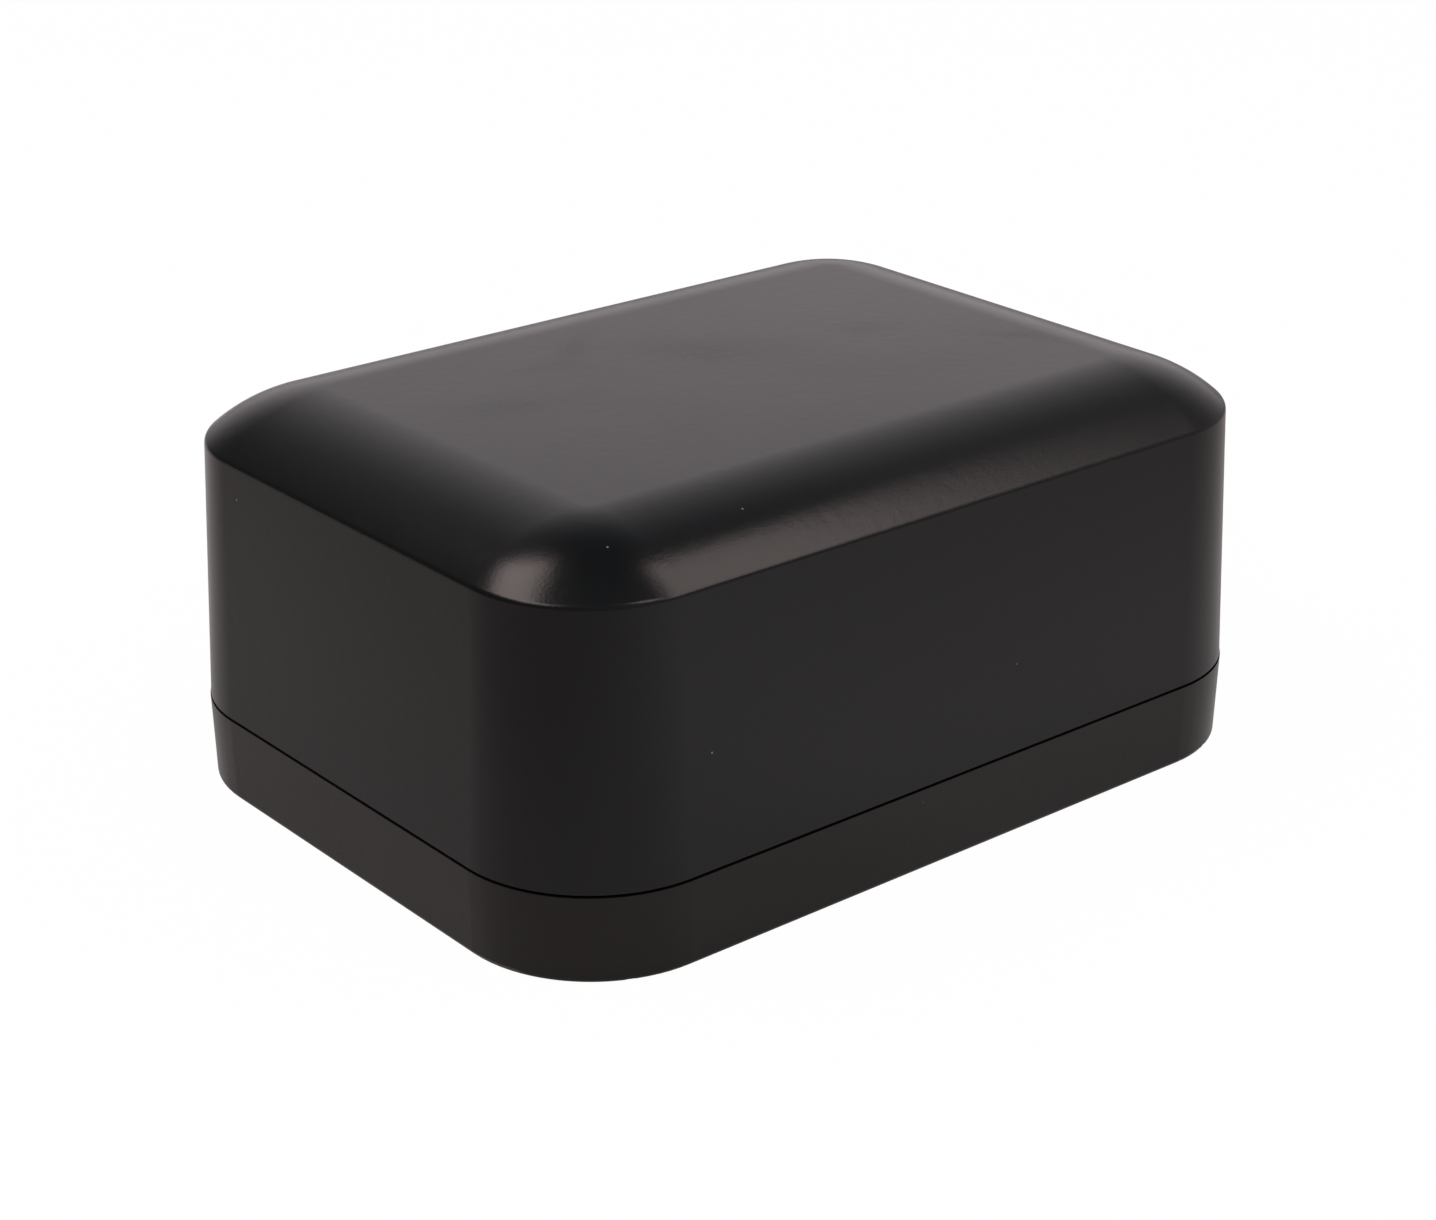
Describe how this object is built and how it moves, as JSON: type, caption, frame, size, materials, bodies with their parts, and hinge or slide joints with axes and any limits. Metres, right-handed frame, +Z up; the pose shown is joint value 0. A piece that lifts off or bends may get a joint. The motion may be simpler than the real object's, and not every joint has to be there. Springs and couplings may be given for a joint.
{
  "type": "plastic housing",
  "caption": "Closed two-part plastic housing: deep cover with a shallow domed top and broad rounded corners on a low base tray, joined by tongue and groove and screwed from below.",
  "frame": {"origin": "middle of the underside, on the surface the housing stands on", "axes": "+X along the length, +Y along the width, +Z up through the domed top"},
  "size_m": [0.1102, 0.082, 0.048],
  "materials": {
    "housing_plastic": "black, fine spark-eroded satin texture",
    "screw_steel": "zinc plated"
  },
  "bodies": {
    "root": {"cover": "housing_plastic", "base": "housing_plastic", "screw_front_left": "screw_steel", "screw_front_right": "screw_steel", "screw_back_left": "screw_steel", "screw_back_right": "screw_steel"}
  },
  "joints": []
}
